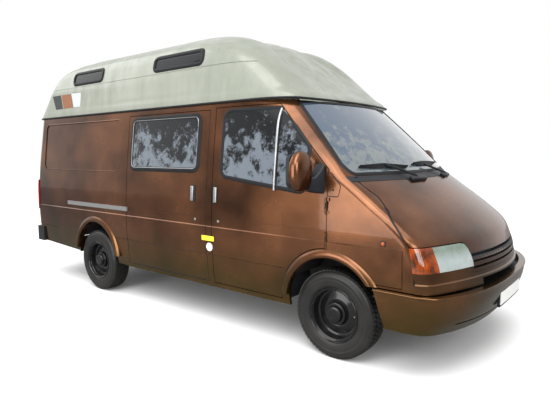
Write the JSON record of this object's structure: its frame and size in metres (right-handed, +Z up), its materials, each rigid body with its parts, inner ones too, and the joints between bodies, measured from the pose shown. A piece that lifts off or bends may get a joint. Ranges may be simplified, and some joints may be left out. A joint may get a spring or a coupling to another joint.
{
  "type": "camper van",
  "caption": "Long camper van with a metallic brown steel body, cream high roof, sliding side door, black steel wheels and hinged cab doors, rear doors and bonnet.",
  "frame": {"origin": "on the ground, under the middle of the van's length and width", "axes": "+X towards the nose, +Y to the van's left side, +Z up"},
  "size_m": [5.37, 2.4, 2.599],
  "materials": {
    "paint_brown": "metallic gloss",
    "roof_cream": "weathered gloss",
    "tinted_glass": "tinted",
    "tyre_rubber": "matt",
    "wheel_black": "gloss",
    "chassis_black": "satin",
    "underside_iron": "rough",
    "engine_grey": "rough",
    "lamp_clear": "clear",
    "lamp_amber": "gloss",
    "lamp_red": "gloss",
    "black_plastic": "grained",
    "seat_fabric": "woven",
    "rail_metal": "satin",
    "cap_white": "gloss",
    "exhaust_steel": "dull"
  },
  "bodies": {
    "root": {"sliding_door": "paint_brown", "side_windows": "tinted_glass", "side_panel_right": "paint_brown", "side_panel_left": "paint_brown", "front_wing_right": "paint_brown", "front_wing_left": "paint_brown", "screen_frame": "paint_brown", "windscreen": "tinted_glass", "cowl": "black_plastic", "grille_panel": "paint_brown", "headlamps": "lamp_clear", "front_indicators": "lamp_amber", "rear_frame": "paint_brown", "tail_lamps": "lamp_red", "front_bumper": "paint_brown", "rear_bumper": "black_plastic", "high_roof": "roof_cream", "roof_windows": "tinted_glass", "front_axle": "underside_iron", "rear_axle": "underside_iron", "leaf_springs": "chassis_black", "chassis_frame": "chassis_black", "floor_pan": "chassis_black", "wheel_houses": "chassis_black", "firewall": "chassis_black", "engine": "engine_grey", "driveline": "underside_iron", "fuel_tank": "chassis_black", "exhaust": "exhaust_steel", "dashboard": "black_plastic", "cab_seats": "seat_fabric", "door_rail": "rail_metal", "filler_cap": "cap_white"},
    "door_front_right": {"front_door_right": "paint_brown", "front_door_glass_right": "tinted_glass", "mirror_right": "paint_brown"},
    "door_front_left": {"front_door_left": "paint_brown", "front_door_glass_left": "tinted_glass", "mirror_left": "paint_brown"},
    "door_rear_right": {"rear_door_right": "paint_brown", "rear_door_glass_right": "tinted_glass"},
    "door_rear_left": {"rear_door_left": "paint_brown", "rear_door_glass_left": "tinted_glass"},
    "bonnet_lid": {"bonnet": "paint_brown"},
    "steer_right": {"knuckle_right": "underside_iron"},
    "steer_left": {"knuckle_left": "underside_iron"},
    "steering": {"steering_wheel": "black_plastic"},
    "wheel_front_right": {"tyre_front_right": "tyre_rubber", "rim_front_right": "wheel_black"},
    "wheel_front_left": {"tyre_front_left": "tyre_rubber", "rim_front_left": "wheel_black"},
    "wheel_rear_right": {"tyre_rear_right": "tyre_rubber", "rim_rear_right": "wheel_black"},
    "wheel_rear_left": {"tyre_rear_left": "tyre_rubber", "rim_rear_left": "wheel_black"}
  },
  "joints": [
    {"name": "front_door_right_hinge", "type": "hinge", "parent": "root", "child": "door_front_right", "pos_m": [1.674, -0.966, 1], "axis": [0, 0, 1], "range_deg": [0, 70]},
    {"name": "front_door_left_hinge", "type": "hinge", "parent": "root", "child": "door_front_left", "pos_m": [1.674, 0.966, 1], "axis": [0, 0, -1], "range_deg": [0, 70]},
    {"name": "rear_door_right_hinge", "type": "hinge", "parent": "root", "child": "door_rear_right", "pos_m": [-2.635, -0.789, 1.2], "axis": [0, 0, 1], "range_deg": [0, 90]},
    {"name": "rear_door_left_hinge", "type": "hinge", "parent": "root", "child": "door_rear_left", "pos_m": [-2.635, 0.789, 1.2], "axis": [0, 0, -1], "range_deg": [0, 90]},
    {"name": "bonnet_hinge", "type": "hinge", "parent": "root", "child": "bonnet_lid", "pos_m": [1.78, 0, 1.3], "axis": [0, -1, 0], "range_deg": [0, 55]},
    {"name": "knuckle_right_steer", "type": "hinge", "parent": "root", "child": "steer_right", "pos_m": [1.7, -0.7, 0.3305], "axis": [0, 0, 1], "range_deg": [-33, 33]},
    {"name": "knuckle_left_steer", "type": "hinge", "parent": "root", "child": "steer_left", "pos_m": [1.7, 0.7, 0.3305], "axis": [0, 0, 1], "range_deg": [-33, 33]},
    {"name": "steering_wheel_turn", "type": "hinge", "parent": "root", "child": "steering", "pos_m": [1.3, 0.43, 1.15], "axis": [-0.788, 0, 0.6157], "range_deg": [-540, 540]},
    {"name": "wheel_front_right_spin", "type": "hinge", "parent": "steer_right", "child": "wheel_front_right", "pos_m": [1.7, -0.8175, 0.3305], "axis": [0, 1, 0], "continuous": true},
    {"name": "wheel_front_left_spin", "type": "hinge", "parent": "steer_left", "child": "wheel_front_left", "pos_m": [1.7, 0.8175, 0.3305], "axis": [0, 1, 0], "continuous": true},
    {"name": "wheel_rear_right_spin", "type": "hinge", "parent": "root", "child": "wheel_rear_right", "pos_m": [-1.32, -0.8555, 0.3305], "axis": [0, 1, 0], "continuous": true},
    {"name": "wheel_rear_left_spin", "type": "hinge", "parent": "root", "child": "wheel_rear_left", "pos_m": [-1.32, 0.8555, 0.3305], "axis": [0, 1, 0], "continuous": true}
  ],
  "couplings": [
    {"joint": "knuckle_left_steer", "follows": "knuckle_right_steer", "ratio": 1},
    {"joint": "steering_wheel_turn", "follows": "knuckle_right_steer", "ratio": 16.364}
  ]
}
